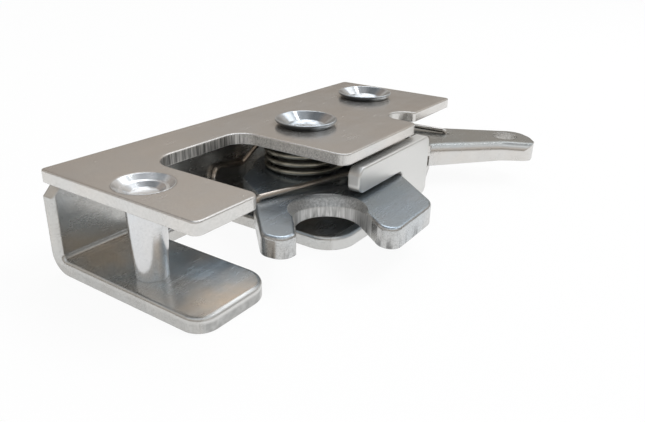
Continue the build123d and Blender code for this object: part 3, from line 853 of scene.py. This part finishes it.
class LATCH_OT_stage(bpy.types.Operator):
    """Pale floor, soft light and the camera"""

    bl_idname = "latch.stage"
    bl_label = "Stage"

    def execute(self, context):
        stage = context.scene.latch_stage
        self.floor(context, stage)
        self.world(context, stage)
        self.lamp(context, stage)
        self.camera(context, stage)
        context.scene.view_settings.view_transform = "Standard"
        return {"FINISHED"}

    def floor(self, context, stage):
        """Square floor just under the latch."""
        half = stage.floor_size / 2.0
        mesh = bpy.data.meshes.new("floor")
        mesh.from_pydata([(-half, -half, 0.0), (half, -half, 0.0), (half, half, 0.0),
                          (-half, half, 0.0)], [], [(0, 1, 2, 3)])
        mesh.materials.append(self.floor_material())
        floor = bpy.data.objects.new("floor", mesh)
        context.scene.collection.objects.link(floor)
        floor.location.z = -FLOOR_DROP

    def floor_material(self):
        """Pale floor that keeps the latch's shadow and reads nearly white to the camera and
        in the metal."""
        material, tree, shader, _ = new_material("pale_floor")
        feed(tree, shader.inputs["Base Color"], FLOOR_COLOUR)
        feed(tree, shader.inputs["Roughness"], FLOOR_ROUGHNESS)
        glow = tree.nodes.new("ShaderNodeEmission")
        feed(tree, glow.inputs["Color"], WHITE)
        feed(tree, glow.inputs["Strength"], 1.0)
        path = tree.nodes.new("ShaderNodeLightPath").outputs
        share = arithmetic(tree, "MAXIMUM",
                           product(tree, path["Is Camera Ray"], FLOOR_GLOW_SEEN),
                           product(tree, path["Is Glossy Ray"], FLOOR_GLOW_MIRRORED))
        output = shader.outputs["BSDF"].links[0].to_node
        mix_shaders(tree, output, share, shader.outputs["BSDF"], glow.outputs["Emission"])
        return material

    def world(self, context, stage):
        """White to the camera. For light and reflections a room: walls that go from a dim
        beige low down to a pale ceiling, with the room's patches laid over them."""
        world = bpy.data.worlds.new("studio")
        context.scene.world = world
        world.use_nodes = True
        tree = world.node_tree
        tree.nodes.clear()
        output = tree.nodes.new("ShaderNodeOutputWorld")
        towards = tree.nodes.new("ShaderNodeTexCoord").outputs["Generated"]
        walls = tree.nodes.new("ShaderNodeValToRGB")
        points = walls.color_ramp.elements
        for height, _ in ROOM_WALLS[1:-1]:
            points.new(height)
        for point, (_, colour) in zip(points, ROOM_WALLS):
            point.color = (*colour, 1.0)
        feed(tree, walls.inputs["Fac"], along(tree, towards, "Z"))
        light = walls.outputs["Color"]
        for direction, full, faded, colour, most in ROOM_PATCHES:
            nearness = vector_value(tree, "DOT_PRODUCT", towards,
                                    Vector(direction).normalized())
            share = remap(tree, nearness, math.cos(math.radians(faded)),
                          math.cos(math.radians(full)), 0.0, most)
            light = blended(tree, share, light, colour)
        room = tree.nodes.new("ShaderNodeBackground")
        feed(tree, room.inputs["Color"], light)
        feed(tree, room.inputs["Strength"], stage.room_level)
        white = tree.nodes.new("ShaderNodeBackground")
        feed(tree, white.inputs["Color"], WHITE)
        path = tree.nodes.new("ShaderNodeLightPath").outputs
        mix_shaders(tree, output, path["Is Camera Ray"], room.outputs["Background"],
                    white.outputs["Background"])

    def lamp(self, context, stage):
        """Square soft lamp aimed at the latch. It casts light and shadow, and only the room
        shows in the metal."""
        data = bpy.data.lights.new("overhead_lamp", "AREA")
        data.shape = "SQUARE"
        data.size = LAMP_SIZE
        data.energy = stage.lamp_power
        lamp = bpy.data.objects.new("overhead_lamp", data)
        context.scene.collection.objects.link(lamp)
        lamp.location = LAMP_PLACE
        lamp.visible_glossy = False
        lamp.rotation_euler = (-Vector(LAMP_PLACE)).to_track_quat("-Z", "Y").to_euler()

    def camera(self, context, stage):
        """Camera at the photograph's place, squared up from its directions to the right and
        ahead."""
        data = bpy.data.cameras.new("camera")
        data.sensor_width = CAMERA_SENSOR
        data.sensor_fit = "HORIZONTAL"
        data.lens = stage.lens
        data.clip_start = CAMERA_NEAR
        camera = bpy.data.objects.new("camera", data)
        context.scene.collection.objects.link(camera)
        back = -Vector(CAMERA_AHEAD).normalized()
        up = back.cross(Vector(CAMERA_RIGHT)).normalized()
        right = up.cross(back).normalized()
        camera.matrix_world = Matrix.Translation(stage.camera_place) @ Matrix(
            (right, up, back)).transposed().to_4x4()
        context.scene.camera = camera


# Panel and registration

STEPS = (LATCH_OT_cover, LATCH_OT_base, LATCH_OT_fork, LATCH_OT_lever, LATCH_OT_rivets,
         LATCH_OT_springs, LATCH_OT_stage)


class LATCH_PT_panel(bpy.types.Panel):
    """Lists the latch's steps, sizes and colours"""

    bl_idname = "LATCH_PT_panel"
    bl_label = "Tray latch"
    bl_space_type = "VIEW_3D"
    bl_region_type = "UI"
    bl_category = "Tray latch"

    def draw(self, context):
        for step in STEPS:
            self.layout.operator(step.bl_idname)
        for group in (context.scene.latch_finish, context.scene.latch_stage):
            for key in group.bl_rna.properties.keys():
                if key not in ("rna_type", "name"):
                    self.layout.prop(group, key)


CLASSES = (LatchFinish, LatchStage, *STEPS, LATCH_PT_panel)


def register():
    """Registers the classes, and gives the scene its finish and stage settings."""
    for cls in CLASSES:
        bpy.utils.register_class(cls)
    bpy.types.Scene.latch_finish = bpy.props.PointerProperty(type=LatchFinish)
    bpy.types.Scene.latch_stage = bpy.props.PointerProperty(type=LatchStage)


def unregister():
    """Takes the settings and the classes away again."""
    del bpy.types.Scene.latch_stage
    del bpy.types.Scene.latch_finish
    for cls in reversed(CLASSES):
        bpy.utils.unregister_class(cls)


def main():
    """Registers the classes, dresses the latch and sets its stage."""
    register()
    bpy.ops.latch.cover()
    bpy.ops.latch.base()
    bpy.ops.latch.fork()
    bpy.ops.latch.lever()
    bpy.ops.latch.rivets()
    bpy.ops.latch.springs()
    bpy.ops.latch.stage()


if __name__ == "__main__":
    main()
